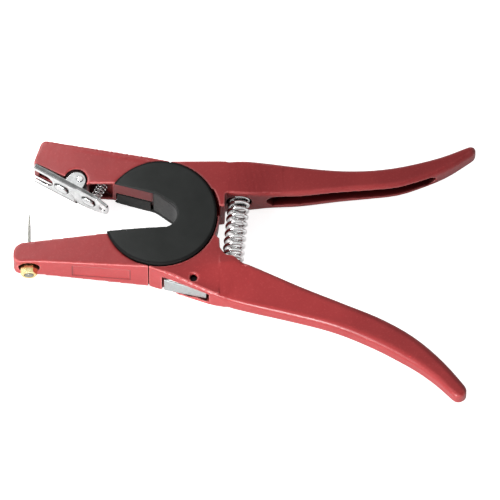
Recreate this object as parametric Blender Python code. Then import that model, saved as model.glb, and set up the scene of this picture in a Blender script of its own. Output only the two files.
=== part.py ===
"""Ear tag applicator: two crossing cast arms that turn on a C-shaped hub, with a sprung clip and a needle.

Metres, +Z up. The tool lies on its side. The origin is on the back cover's flat resting face, 20 mm from
the hub's centre line towards the handles, +X runs to the handles and +Y to the clip jaw's side. Plan
outlines are drawn close about the hub's centre, and heights are measured from the tool's middle plane,
which lies MIDDLE above the resting face.
"""

import math

import bmesh
import bpy
import numpy as np
from mathutils import Matrix, Vector

# Where the hub's centre line lies: in the part's own frame, and in the plan that the outlines are drawn in
HUB_X = -0.0200
HUB = (0.0, 0.0008)

# Hub: webs, bush, covers and the throat
ARM_HALF = 0.0125
COVER_SINK = 0.0016
WEB_HALF = ARM_HALF - COVER_SINK
LAP_GAP = 0.0003
WEB_RADIUS = 0.0285
WEB_GAP = 0.0004
BORE_RADIUS = 0.0138
BUSH_GAP = 0.0003
COVER_RADIUS = WEB_RADIUS + 0.0020
COVER_EDGE_GAP = 0.0005
RECESS_RADIUS = COVER_RADIUS + COVER_EDGE_GAP
TOP_SEAM_RADIUS = RECESS_RADIUS + 0.0006
LOW_SEAM_RADIUS = RECESS_RADIUS + 0.0011
RIM_RADIUS = RECESS_RADIUS + 0.0008
RIM_TOP = math.radians(-1.5)
RIM_LOW = math.radians(-22.5)
RIM_STEP = math.radians(27.0)
RIM_GAP = 0.0003
RIM_CLEAR = math.radians(1.0)
HEEL_TOP = math.radians(7.0)
COVER_SEAT_GAP = 0.0003
COVER_THICKNESS = 0.0030
COVER_EDGE_ROUND = 0.0012
COVER_FALL = 2.3
SKIRT_THICKNESS = 0.0015
SKIRT_GAP = 0.0003
SKIRT_DEPTH = 0.0097
SKIRT_ROUND = 0.0012
FRONT_LIP = 0.0007
SKIRT_OUT = -0.0233
SKIRT_IN = -0.0050
THROAT_RADIUS = 0.0083
THROAT_CENTRE = (0.0010, 0.0003)
TOP_SEAM = math.radians(80.0)
BOTTOM_SEAM = math.radians(259.0)
SEAM_GAP = 0.0003
SCREW_CIRCLE = 0.01135
SCREW_ANGLES = (math.radians(45.0), math.radians(-7.0), math.radians(-60.0))
SCREW_RADIUS = 0.0011
SCREW_HEAD_RADIUS = 0.0020
SCREW_HEAD_HEIGHT = 0.0014
SCREW_REACH = 0.0015
HOLE_GAP = 0.0003

# Mouth between the jaws, as the covers' edges show it
MOUTH_TOP_OUT = (-0.0251, 0.0193)
MOUTH_TOP_IN = (-0.0027, 0.0134)
MOUTH_TOP_ROUND = 0.0110
MOUTH_LOW_OUT = (-0.0292, -0.0094)
MOUTH_LOW_IN = (0.0016, -0.0077)
LOW_WALL_SETBACK = 0.0006

# Jaw of the clip arm
JAW_ROOT_HALF = ARM_HALF + 0.0004
JAW_TAPER = 0.0697
CLIP_JAW_TOP = (-0.0634, 0.0463)
CLIP_JAW_TIP = (-0.0681, 0.0331)
CLIP_JAW_BEND = (-0.0495, 0.0234)
CLIP_JAW_TOE = (-0.0408, 0.0183)
CLIP_JAW_KNEE = (-0.0386, 0.0199)
CLIP_JAW_HEEL = (-0.0258, 0.0197)
JAW_TOP_SEAM = (0.0053, 0.0318)
JAW_WALL = 0.0023
CAVITY_ROOF = 0.0043
CAVITY_FRONT = -0.0650
CAVITY_BACK = -0.0502
POCKET_FRONT = -0.0380
POCKET_BACK = -0.0256
POCKET_SEAT = (-0.0302, 0.0246)
POCKET_SEAT_END = -0.0350
ARCH_RADIUS = 0.0062
ARCH_CENTRE = (-0.0016, -0.0016)

# Jaw of the needle arm
NEEDLE_JAW_TOP_OUT = (-0.0786, -0.0146)
NEEDLE_JAW_TOP_IN = (-0.0300, -0.0100)
NEEDLE_JAW_BOTTOM = -0.0259
NEEDLE_JAW_LEVEL_X = -0.0633
NEEDLE_JAW_SLOPE = 0.084
NEEDLE_X = -0.0702
PANEL_START = -0.0470
PANEL_END = -0.0160
PANEL_HALF = 0.0058
PANEL_DEPTH = 0.0005
NUT_POCKET_RADIUS = 0.0056
NUT_POCKET_DEPTH = 0.0028

# Needle and nut
STEM_RADIUS = 0.0023
SHOULDER_RADIUS = 0.0027
SHOULDER_HEIGHT = 0.0022
NEEDLE_RADIUS = 0.0009
NEEDLE_LENGTH = 0.0203
NUT_FLATS = 0.0079
NUT_LENGTH = 0.0072
NUT_CHAMFER = 0.0006

# Handles
TOP_ROOT_END = ((0.0362, 0.0322), (0.0362, 0.0133))
LOW_ROOT_END = ((0.0435, -0.0268), (0.0350, -0.0466))
HANDLE_WALL = 0.0024
HANDLE_BACK = 0.0042
HANDLE_SIDES = 28
TOP_SLOT_START = 0.0545
TOP_SLOT_END = 0.1490
LOW_SLOT_START = 0.0575
LOW_SLOT_END = 0.1500
SLOT_RAMP = 0.0070
GRIP_BURY = 0.0030
GRIP_BURY_INSET = 0.0004

# Main spring
SPRING_RADIUS = 0.0050
SPRING_WIRE = 0.0011
SPRING_TURNS = 11.5
SPRING_TOP = (0.0424, 0.0134)
SPRING_LOW = (0.0388, -0.0238)
SPRING_POCKET_RADIUS = 0.0067
SPRING_POCKET_DEPTH = 0.0040
SPRING_LOW_LIFT = 0.0008

# Window, latch plate and its pin
WINDOW_LEFT = 0.0012
WINDOW_RIGHT = 0.0262
WINDOW_FRONT = 0.0046
WINDOW_BACK = -0.0125
WINDOW_TAPER = 0.0075
ROOT_EDGE_IN = (0.0030, -0.0340)
ROOT_EDGE_OUT = (0.0262, -0.0438)
ROOT_CREASE = ((-0.0075, -0.0317), (0.0435, -0.0268))
ROOT_FALL = 0.328
LATCH_PIVOT = (0.0182, -0.0360)
LATCH_PIN_RADIUS = 0.00155
LATCH_PIN_HALF = 0.0076
LATCH_THICKNESS = 0.0022
LATCH_LUG_WALL = 0.0014
LATCH_ROOM = 0.0005
LATCH_FRONT = 0.0010
LATCH_FRONT_RISE = 0.25
LATCH_BACK_GAP = 0.0009

# Clip: plate, ears, fork, beads, pin and spring
CLIP_PIVOT = (-0.0430, 0.0228)
CLIP_TILT = math.radians(-30.0)
CLIP_SHEET = 0.0012
CLIP_FACE = -0.0063
CLIP_RIM = -0.0040
CLIP_HALF = 0.0092
CLIP_FRONT = -0.0251
CLIP_STEP = 0.0010
CLIP_STEP_RISE = 0.0006
CLIP_TAIL = 0.0202
CLIP_TAIL_HALF = 0.0080
FORK_HALF = 0.0045
FORK_DEPTH = 0.0117
EAR_RADIUS = 0.0049
EAR_CENTRE = (-0.0012, -0.0016)
BEAD_HALF = 0.0022
BEAD_HEIGHT = 0.0008
FRONT_BEAD = (-0.0122, -0.0040)
TAIL_BEAD = (0.0045, 0.0120)
PIN_RADIUS = 0.0012
PIN_HEAD_RADIUS = 0.0017
PIN_HEAD_HEIGHT = 0.0008
CLIP_SPRING_RADIUS = 0.00255
CLIP_SPRING_WIRE = 0.00036
CLIP_SPRING_TURNS = 6.5
CLIP_SPRING_FOOT = 0.0103

# Small chamfers of turned pieces, the steps of a full circle and how far cutters run past a face
TURNED_EDGE = 0.0004
ROUND_STEPS = 48
PAST = 0.02
MIDDLE = WEB_HALF + COVER_SEAT_GAP + COVER_THICKNESS


def clear_scene():
    for old in list(bpy.data.objects):
        bpy.data.objects.remove(old, do_unlink=True)


def material(name, colour, roughness, metallic=0.0):
    made = bpy.data.materials.new(name)
    made.use_nodes = True
    shader = made.node_tree.nodes["Principled BSDF"]
    shader.inputs["Base Color"].default_value = (*colour, 1.0)
    shader.inputs["Roughness"].default_value = roughness
    shader.inputs["Metallic"].default_value = metallic
    return made


def add_mesh(name, build, finish=None, origin=(0.0, 0.0)):
    """An object from a bmesh drawn in plan about the middle plane, with its origin over a plan point."""
    mesh = bpy.data.meshes.new(name)
    bmesh.ops.recalc_face_normals(build, faces=build.faces)
    bmesh.ops.translate(build, vec=(-origin[0], -origin[1], 0.0), verts=build.verts)
    build.to_mesh(mesh)
    build.free()
    made = bpy.data.objects.new(name, mesh)
    bpy.context.scene.collection.objects.link(made)
    made.location = (HUB_X + origin[0] - HUB[0], origin[1] - HUB[1], MIDDLE)
    if finish:
        mesh.materials.append(finish)
    return made


def as_cutter(made):
    made.hide_render = True
    made.display_type = "WIRE"
    return made


def combine(target, others, operation="DIFFERENCE"):
    for other in others:
        step = target.modifiers.new(other.name, "BOOLEAN")
        step.operation = operation
        step.solver = "EXACT"
        step.object = as_cutter(other)


def round_edges(target, width, segments=2, angle=50.0):
    edge = target.modifiers.new("edges", "BEVEL")
    edge.width = width
    edge.segments = segments
    edge.limit_method = "ANGLE"
    edge.angle_limit = math.radians(angle)
    edge.use_clamp_overlap = True


def shade(target, angle=35.0):
    target.data.shade_smooth()
    target.data.set_sharp_from_angle(angle=math.radians(angle))


def arc(centre, radius, start, end, steps=None):
    count = steps or max(2, int(abs(end - start) / (2 * math.pi) * ROUND_STEPS * 1.5))
    angles = np.linspace(start, end, count + 1)
    return [(centre[0] + radius * math.cos(a), centre[1] + radius * math.sin(a)) for a in angles]


def polar(radius, angle):
    """A plan point at a radius and an angle about the hub's centre."""
    return HUB[0] + radius * math.cos(angle), HUB[1] + radius * math.sin(angle)


def rounded(corners):
    """The outline through (x, y, radius) corners, each corner rounded to its radius."""
    outline = []
    for i, (x, y, radius) in enumerate(corners):
        here = Vector((x, y))
        if radius == 0:
            outline.append((x, y))
            continue
        before = Vector(corners[i - 1][:2]) - here
        after = Vector(corners[(i + 1) % len(corners)][:2]) - here
        half = before.angle(after) / 2
        reach = min(radius / math.tan(half), 0.49 * before.length, 0.49 * after.length)
        radius = reach * math.tan(half)
        centre = here + (before.normalized() + after.normalized()).normalized() * (radius / math.sin(half))
        first = here + before.normalized() * reach - centre
        last = here + after.normalized() * reach - centre
        turn = first.angle_signed(last)
        steps = max(2, int(abs(turn) / math.radians(18)))
        for k in range(steps + 1):
            spoke = first.copy()
            spoke.rotate(Matrix.Rotation(-turn * k / steps, 2))
            outline.append(tuple(centre + spoke))
    return outline


def prism(outline, low, high):
    """A closed solid between two heights; each height is a number or a function of (x, y)."""
    build = bmesh.new()
    rings = []
    for height in (low, high):
        level = height if callable(height) else (lambda x, y, z=height: z)
        rings.append([build.verts.new((x, y, level(x, y))) for x, y in outline])
    build.faces.new(rings[0][::-1])
    build.faces.new(rings[1])
    count = len(outline)
    for i in range(count):
        j = (i + 1) % count
        build.faces.new((rings[0][i], rings[0][j], rings[1][j], rings[1][i]))
    return build


def loft(rings):
    """A closed solid through rings of points, all of one length, with flat ends."""
    build = bmesh.new()
    rows = [[build.verts.new(point) for point in ring] for ring in rings]
    build.faces.new(rows[0][::-1])
    build.faces.new(rows[-1])
    for near, far in zip(rows, rows[1:]):
        for i in range(len(near)):
            j = (i + 1) % len(near)
            build.faces.new((near[i], near[j], far[j], far[i]))
    return build


def turned(profile, steps=ROUND_STEPS):
    """A solid of revolution about Z from (radius, height) points, from the axis out and back to it."""
    build = bmesh.new()
    rows = []
    for radius, height in profile:
        if radius == 0:
            rows.append([build.verts.new((0, 0, height))] * steps)
            continue
        rows.append(
            [build.verts.new((radius * math.cos(a), radius * math.sin(a), height))
             for a in np.linspace(0, 2 * math.pi, steps, endpoint=False)]
        )
    for near, far in zip(rows, rows[1:]):
        for i in range(steps):
            j = (i + 1) % steps
            corners = dict.fromkeys((near[i], near[j], far[j], far[i]))
            build.faces.new(list(corners))
    return build


def cylinder(radius, low, high, steps=ROUND_STEPS):
    return turned(((0, low), (radius, low), (radius, high), (0, high)), steps)


def moved(build, matrix):
    bmesh.ops.transform(build, matrix=matrix, verts=build.verts)
    return build


def along_y(x, y, z=0.0):
    """Turns a solid made about Z so that its axis points along +Y from (x, y, z)."""
    return Matrix.Translation((x, y, z)) @ Matrix.Rotation(math.radians(-90), 4, "X")


def at(x, y, z=0.0):
    return Matrix.Translation((x, y, z))


def smooth_rows(rows, count):
    """Rows of station values, read off evenly along a smooth curve through them."""
    values = np.array(rows, float)
    span = np.hypot(*np.diff(values[:, :2], axis=0).T)
    knots = np.concatenate([[0], np.cumsum(span)])
    slopes = np.gradient(values, knots, axis=0)
    places = np.linspace(0, knots[-1], count)
    index = np.clip(np.searchsorted(knots, places, side="right") - 1, 0, len(knots) - 2)
    width = (knots[index + 1] - knots[index])[:, None]
    t = ((places - knots[index])[:, None]) / width
    h00 = 2 * t**3 - 3 * t**2 + 1
    h10 = t**3 - 2 * t**2 + t
    h01 = -2 * t**3 + 3 * t**2
    h11 = t**3 - t**2
    near = h00 * values[index] + h10 * width * slopes[index]
    far = h01 * values[index + 1] + h11 * width * slopes[index + 1]
    return near + far


def helix(radius, wire, turns, length, steps=16, sides=8):
    """A coil spring about Z from 0 to length, outside ends included, with closed end turns."""
    count = int(turns * steps)
    rings = []
    for i in range(count + 1):
        t = i / count
        angle = 2 * math.pi * turns * t
        closed = 1.0 / turns
        slow = 0.12
        ramp = min(max((t - closed * slow) / (1 - 2 * closed * slow), 0), 1)
        height = wire + (length - 2 * wire) * (ramp * ramp * (3 - 2 * ramp) * 0.35 + ramp * 0.65)
        out = Vector((math.cos(angle), math.sin(angle), 0))
        centre = out * radius + Vector((0, 0, height))
        rings.append(
            [centre + out * (wire * math.cos(a)) + Vector((0, 0, wire * math.sin(a)))
             for a in np.linspace(0, 2 * math.pi, sides, endpoint=False)]
        )
    return loft(rings)


def line_y(first, last, x):
    """The height at x of the line through two points."""
    return first[1] + (last[1] - first[1]) * (x - first[0]) / (last[0] - first[0])


def seam_point(radius, angle, side):
    """A point on a radial seam, half a seam gap to one side of it."""
    x, y = polar(radius, angle)
    return x - side * math.sin(angle) * SEAM_GAP / 2, y + side * math.cos(angle) * SEAM_GAP / 2


def mouth_outline(lip=0.0, reach=0.050):
    """The open mouth and throat, open past the jaws to -X, with the upper edge lowered by the lip."""
    top_out = (-reach, line_y(MOUTH_TOP_IN, MOUTH_TOP_OUT, -reach) - lip)
    top_in = (MOUTH_TOP_IN[0], MOUTH_TOP_IN[1] - lip)
    low_out = (-reach, line_y(MOUTH_LOW_IN, MOUTH_LOW_OUT, -reach))
    throat = arc(THROAT_CENTRE, THROAT_RADIUS, math.radians(53), math.radians(-72), 16)
    return rounded([
        (*top_out, 0), (*top_in, MOUTH_TOP_ROUND),
        *[(x, y, 0) for x, y in throat],
        (*MOUTH_LOW_IN, 0), (*low_out, 0),
    ])


def hub_disc(radius, low, high):
    """A round plate about the hub's centre: the bush, the covers' recesses and the bore start from it."""
    return moved(cylinder(radius, low, high, 64), at(*HUB))


def lap_cutter(low, high, wide_low, wide_high):
    """The share of the hub that the other arm fills between the seams, wider where its rim passes."""
    near, far = WEB_RADIUS + WEB_GAP, RIM_RADIUS + RIM_GAP
    first = arc(HUB, near, BOTTOM_SEAM - 2 * math.pi, wide_low, 30)
    wide = arc(HUB, far, wide_low, wide_high, 16)
    last = arc(HUB, near, wide_high, TOP_SEAM, 24)
    first[0] = seam_point(near, BOTTOM_SEAM, -1)
    last[-1] = seam_point(near, TOP_SEAM, 1)
    return prism([HUB, *first, *wide, *last], low, high)


def jaw_half(x, y):
    """The half thickness of the jaws at a plan position: full at the hub, thinner to the tip."""
    return min(ARM_HALF, JAW_ROOT_HALF + JAW_TAPER * x)


def arm_plate(outline, crease=None, fall=0.0):
    """A plate of the arms' full thickness that tapers to the jaw and, past a crease, to its outer edge."""
    build = prism(outline, -ARM_HALF, ARM_HALF)
    start = (ARM_HALF - JAW_ROOT_HALF) / JAW_TAPER
    cuts = [((start, 0, 0), (1, 0, 0))]
    if crease:
        first, last = Vector((*crease[0], 0)), Vector((*crease[1], 0))
        out = (last - first).normalized().cross(Vector((0, 0, 1)))
        cuts.append((first, out))
    for place, normal in cuts:
        geometry = [*build.verts, *build.edges, *build.faces]
        bmesh.ops.bisect_plane(build, geom=geometry, dist=1e-7, plane_co=place, plane_no=normal)
    for vert in build.verts:
        half = jaw_half(vert.co.x, 0)
        if crease and vert.co.x > start:
            half -= fall * max(0.0, (vert.co - first).dot(out))
        vert.co.z = math.copysign(half, vert.co.z)
    return build


def section(top, low, half_top, half_low, round_top, round_low):
    """A handle's cross section: a trapezoid between two edge points, with rounded corners."""
    across = Vector((top[0] - low[0], top[1] - low[1]))
    width = across.length
    across.normalize()
    corners = (
        (0.0, half_low, round_low), (width, half_top, round_top),
        (width, -half_top, round_top), (0.0, -half_low, round_low),
    )
    steps = HANDLE_SIDES // 4 - 1
    ring = []
    for i, (u, z, radius) in enumerate(corners):
        turn = (math.pi, math.pi / 2, 0.0, -math.pi / 2)[i]
        centre_u = u + (radius if u == 0 else -radius)
        centre_z = z - math.copysign(radius, z)
        for k in range(steps + 1):
            angle = turn - (math.pi / 2) * k / steps
            place = centre_u + radius * math.cos(angle)
            height = centre_z + radius * math.sin(angle)
            ring.append((low[0] + across.x * place, low[1] + across.y * place, height))
    return ring


def handle(stations, count, tip_reach):
    """The handle's grip, through stations of (top x, y, low x, y, half thicknesses, corner radii)."""
    rows = smooth_rows(stations, count)
    rings = [section(r[0:2], r[2:4], *r[4:8]) for r in rows]
    ahead = (rows[1] - rows[0])[0:4] / np.hypot(*(rows[1] - rows[0])[0:2])
    buried = (rows[0][0:4] - GRIP_BURY * ahead).reshape(2, 2)
    rings.insert(0, section(*buried, *(rows[0][4:8] - GRIP_BURY_INSET)))
    last = rows[-1]
    before = rows[-2]
    middle = (last[0:2] + last[2:4]) / 2
    forward = middle - (before[0:2] + before[2:4]) / 2
    forward = forward / np.hypot(*forward)
    for lean in (30, 55, 75):
        ahead = tip_reach * math.sin(math.radians(lean))
        shrink = math.cos(math.radians(lean))
        shrink_z = 0.45 + 0.55 * shrink
        shift = middle + forward * ahead
        top = shift + (last[0:2] - middle) * shrink
        low = shift + (last[2:4] - middle) * shrink
        corner = last[6] * shrink * 0.9
        rings.append(section(top, low, last[4] * shrink_z, last[5] * shrink_z, corner, corner))
    return loft(rings)


def channel_cutter(stations, count, inner_is_low, start_x, end_x):
    """The long hollow in a handle's inner face, rounded at both ends, with a ramp at the hub end."""
    rows = [r for r in smooth_rows(stations, count) if start_x <= (r[0] + r[2]) / 2 <= end_x]
    length = (rows[-1][0] + rows[-1][2] - rows[0][0] - rows[0][2]) / 2
    rings = []
    for row in rows:
        inner, outer = (row[2:4], row[0:2]) if inner_is_low else (row[0:2], row[2:4])
        half_inner = row[5] if inner_is_low else row[4]
        width = np.hypot(*(outer - inner))
        into = (outer - inner) / width
        travel = (row[0] + row[2] - rows[0][0] - rows[0][2]) / 2
        end = max(min(travel, length - travel), 0.0)
        half = min(row[4], row[5], half_inner) - HANDLE_WALL
        round_off = min(end / half, 1.0)
        half = half * max(math.sqrt(max(1 - (1 - round_off) ** 2, 0)), 0.25)
        ramp = min(max(travel / SLOT_RAMP, 0.25), 1.0)
        depth = (width - HANDLE_BACK) * ramp
        top = inner + into * depth
        mouth = inner - into * 0.004
        corner = min(0.0012, half * 0.4)
        rings.append(section(top, mouth, half, half, corner, corner))
    return loft(rings)


# Stations of each handle: outer and inner edge points, half thicknesses and corner radii there
TOP_STATIONS = (
    (0.0361, 0.0320, 0.0361, 0.0135, ARM_HALF - 0.0003, ARM_HALF - 0.0003, 0.0009, 0.0009),
    (0.0475, 0.0331, 0.0475, 0.0132, 0.0106, 0.0111, 0.0018, 0.0014),
    (0.0560, 0.0332, 0.0558, 0.0134, 0.0088, 0.0096, 0.0024, 0.0018),
    (0.0765, 0.0312, 0.0746, 0.0141, 0.0076, 0.0090, 0.0028, 0.0020),
    (0.0985, 0.0295, 0.0976, 0.0167, 0.0072, 0.0083, 0.0030, 0.0022),
    (0.1110, 0.0297, 0.1118, 0.0179, 0.0070, 0.0079, 0.0030, 0.0024),
    (0.1250, 0.0313, 0.1278, 0.0197, 0.0068, 0.0075, 0.0030, 0.0026),
    (0.1380, 0.0342, 0.1412, 0.0240, 0.0066, 0.0070, 0.0030, 0.0028),
    (0.1515, 0.0383, 0.1545, 0.0300, 0.0062, 0.0066, 0.0030, 0.0028),
    (0.1650, 0.0440, 0.1672, 0.0384, 0.0056, 0.0058, 0.0027, 0.0027),
)
LOW_STATIONS = (
    (0.0433, -0.0270, 0.0350, -0.0463, ARM_HALF - 0.0004, 0.0058, 0.0009, 0.0009),
    (0.0547, -0.0312, 0.0468, -0.0499, 0.0104, 0.0061, 0.0016, 0.0026),
    (0.0762, -0.0405, 0.0693, -0.0556, 0.0090, 0.0062, 0.0022, 0.0032),
    (0.0982, -0.0495, 0.0930, -0.0624, 0.0082, 0.0064, 0.0026, 0.0036),
    (0.1202, -0.0590, 0.1143, -0.0718, 0.0076, 0.0066, 0.0030, 0.0038),
    (0.1349, -0.0679, 0.1277, -0.0793, 0.0074, 0.0066, 0.0032, 0.0038),
    (0.1472, -0.0784, 0.1394, -0.0868, 0.0070, 0.0064, 0.0032, 0.0036),
    (0.1565, -0.0886, 0.1492, -0.0949, 0.0066, 0.0060, 0.0030, 0.0032),
    (0.1630, -0.0968, 0.1563, -0.1020, 0.0060, 0.0056, 0.0028, 0.0028),
)


def hub_cuts(prefix):
    """The cuts that both arms share: cover recesses and the bore for the bush."""
    front = add_mesh(prefix + "_front_recess", hub_disc(RECESS_RADIUS, WEB_HALF, PAST))
    back = add_mesh(prefix + "_back_recess", hub_disc(RECESS_RADIUS, -PAST, -WEB_HALF))
    bore = add_mesh(prefix + "_bore", hub_disc(BORE_RADIUS, -PAST, PAST))
    return [front, back, bore]


def clip_frame(u, w):
    """A plan point from the clip's own axes about its pin: u along its plate, w square to it."""
    cos, sin = math.cos(CLIP_TILT), math.sin(CLIP_TILT)
    return CLIP_PIVOT[0] + u * cos - w * sin, CLIP_PIVOT[1] + u * sin + w * cos


def clip_matrix(u, w, z=0.0):
    """Places a solid made with X along the clip's plate and Y square to it."""
    x, y = clip_frame(u, w)
    return Matrix.Translation((x, y, z)) @ Matrix.Rotation(CLIP_TILT, 4, "Z")


def make_clip_arm(paint):
    seam_top = seam_point(TOP_SEAM_RADIUS, TOP_SEAM, 1)
    web_top = seam_point(WEB_RADIUS, TOP_SEAM, 1)
    seam_low = seam_point(LOW_SEAM_RADIUS, BOTTOM_SEAM, 1)
    web = arc(HUB, WEB_RADIUS, TOP_SEAM, RIM_TOP, 28)
    rim = arc(HUB, RIM_RADIUS, RIM_TOP, RIM_LOW, 10)
    outline = rounded([
        (*MOUTH_TOP_IN, 0), (*CLIP_JAW_HEEL, 0), (*CLIP_JAW_KNEE, 0.001), (*CLIP_JAW_TOE, 0.001),
        (*CLIP_JAW_BEND, 0.004), (*CLIP_JAW_TIP, 0.0009), (*CLIP_JAW_TOP, 0.0032),
        (*seam_top, 0), (*web_top, 0),
    ])
    outline += web[1:] + rim
    outline += rounded([
        (0.0319, -0.0134, 0.0006), (0.0322, -0.0190, 0.001), (0.0352, -0.0231, 0.002),
        (0.0392, -0.0236, 0.002), (*LOW_ROOT_END[0], 0), (*LOW_ROOT_END[1], 0), (*ROOT_EDGE_OUT, 0.02),
        (*ROOT_EDGE_IN, 0.02), (*seam_low, 0), (*HUB, 0),
    ])
    arm = add_mesh("clip_arm", arm_plate(outline, ROOT_CREASE, ROOT_FALL), paint)
    round_edges(arm, 0.0007)
    grip = add_mesh("clip_arm_grip", handle(LOW_STATIONS, 26, 0.0042))
    combine(arm, [grip], "UNION")
    cuts = [add_mesh("clip_arm_lap", lap_cutter(-PAST, LAP_GAP / 2, RIM_LOW + RIM_CLEAR, -RIM_TOP))]
    cuts += hub_cuts("clip_arm")
    slot = channel_cutter(LOW_STATIONS, 44, False, LOW_SLOT_START, LOW_SLOT_END)
    cuts.append(add_mesh("clip_arm_slot", slot))
    cuts.append(add_mesh("clip_arm_notch", skirt_notch()))
    cuts += jaw_hollows()
    cuts += arch_recesses()
    pin_hole = moved(cylinder(PIN_RADIUS + HOLE_GAP, -PAST, PAST, 20), at(*CLIP_PIVOT))
    cuts.append(add_mesh("clip_arm_pin_hole", pin_hole))
    cuts.append(spring_pocket("clip_arm_spring_pocket", SPRING_LOW, SPRING_TOP, SPRING_LOW_LIFT))
    cuts.append(window_cutter())
    hole = moved(cylinder(LATCH_PIN_RADIUS + HOLE_GAP, -PAST, PAST, 20), at(*LATCH_PIVOT))
    cuts.append(add_mesh("clip_arm_latch_hole", hole))
    combine(arm, cuts)
    shade(arm)
    return arm


def mouth_edge(x):
    """The mouth's upper wall in plan."""
    return line_y(MOUTH_TOP_IN, MOUTH_TOP_OUT, x)


def skirt_notch():
    """The step in the mouth's upper wall that the back cover's skirt fills."""
    grow = SKIRT_THICKNESS + SKIRT_GAP
    in_x, out_x = MOUTH_TOP_IN[0], SKIRT_OUT - SKIRT_GAP
    outline = [
        (out_x, mouth_edge(out_x) - 0.004), (in_x, mouth_edge(in_x) - 0.004),
        (in_x, mouth_edge(in_x) + grow), (out_x, mouth_edge(out_x) + grow),
    ]
    return prism(outline, -PAST, -WEB_HALF - COVER_SEAT_GAP + SKIRT_DEPTH + SKIRT_GAP)


def jaw_hollows():
    """The cavity that takes the needle's tip, and the pocket behind the pin for the clip's spring."""
    def width(x, y):
        return jaw_half(x, y) - JAW_WALL
    def roof(x):
        return line_y(JAW_TOP_SEAM, CLIP_JAW_TOP, x) - CAVITY_ROOF
    front = rounded([
        (CAVITY_FRONT, 0.018, 0), (CAVITY_BACK, 0.018, 0), (CAVITY_BACK, roof(CAVITY_BACK), 0.0015),
        (CAVITY_FRONT + 0.0050, roof(CAVITY_FRONT + 0.0050), 0.002),
        (CAVITY_FRONT, CLIP_JAW_TIP[1] + 0.0004, 0.004),
    ])
    def seat(x):
        return POCKET_SEAT[1] + (x - POCKET_SEAT[0]) * math.tan(CLIP_TILT)
    back = rounded([
        (POCKET_FRONT, 0.008, 0), (POCKET_BACK, 0.008, 0), (POCKET_BACK, seat(POCKET_BACK), 0.0008),
        (POCKET_SEAT_END, seat(POCKET_SEAT_END), 0.0008), (POCKET_FRONT, POCKET_SEAT[1], 0.002),
    ])
    return [
        add_mesh("clip_arm_cavity", prism(front, lambda x, y: -width(x, y), width)),
        add_mesh("clip_arm_pocket", prism(back, lambda x, y: -width(x, y), width)),
    ]


def arch_recesses():
    """The round-topped recess in each side of the clip jaw, where the clip's ears sit."""
    made = []
    for side, name in ((1, "front"), (-1, "back")):
        outline = arc(ARCH_CENTRE, ARCH_RADIUS, 0, math.pi, 16)
        outline += [(ARCH_CENTRE[0] - ARCH_RADIUS, -0.010), (ARCH_CENTRE[0] + ARCH_RADIUS, -0.010)]
        build = prism(outline, CLIP_HALF - CLIP_SHEET - HOLE_GAP, 0.016)
        if side < 0:
            moved(build, Matrix.Scale(-1, 4, (0, 0, 1)))
        made.append(add_mesh("clip_arm_arch_" + name, moved(build, clip_matrix(0, 0))))
    return made


def spring_pocket(name, end, other, lift):
    """A round blind pocket for the main spring, along the spring's own axis."""
    axis = Vector((end[0] - other[0], end[1] - other[1], 0)).normalized()
    turn = Vector((0, 0, 1)).rotation_difference(axis).to_matrix().to_4x4()
    build = cylinder(SPRING_POCKET_RADIUS, -0.010, SPRING_POCKET_DEPTH, 32)
    start = Vector((end[0], end[1], 0)) - axis * lift
    return add_mesh(name, moved(build, Matrix.Translation(start) @ turn))


def window_edge(x):
    """The lower handle's outer edge in plan, along the window."""
    return line_y(ROOT_EDGE_IN, ROOT_EDGE_OUT, x)


def window_back(x, y):
    """The window's back edge, which is open behind at its left end."""
    return WINDOW_BACK + WINDOW_TAPER * (x - WINDOW_LEFT) / (WINDOW_RIGHT - WINDOW_LEFT)


def window_cutter():
    """The window in the lower handle's outer face, for the latch plate."""
    room = LATCH_PIN_RADIUS + LATCH_LUG_WALL + LATCH_ROOM
    px, py = LATCH_PIVOT
    neck = WINDOW_LEFT + 0.0055
    outline = [
        (WINDOW_LEFT, window_edge(WINDOW_LEFT) - 0.006),
        (WINDOW_RIGHT, window_edge(WINDOW_RIGHT) - 0.006),
        (WINDOW_RIGHT, py + room), (px - room, py + room), (neck, window_edge(neck) + 0.0030),
        (WINDOW_LEFT, window_edge(WINDOW_LEFT) + 0.0024),
    ]
    return add_mesh("clip_arm_window", prism(outline, window_back, WINDOW_FRONT))


def needle_jaw_edge(x):
    """The needle jaw's lower outline: a straight line from under its end to the bottom seam."""
    return NEEDLE_JAW_BOTTOM - NEEDLE_JAW_SLOPE * (x - NEEDLE_JAW_LEVEL_X)


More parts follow.
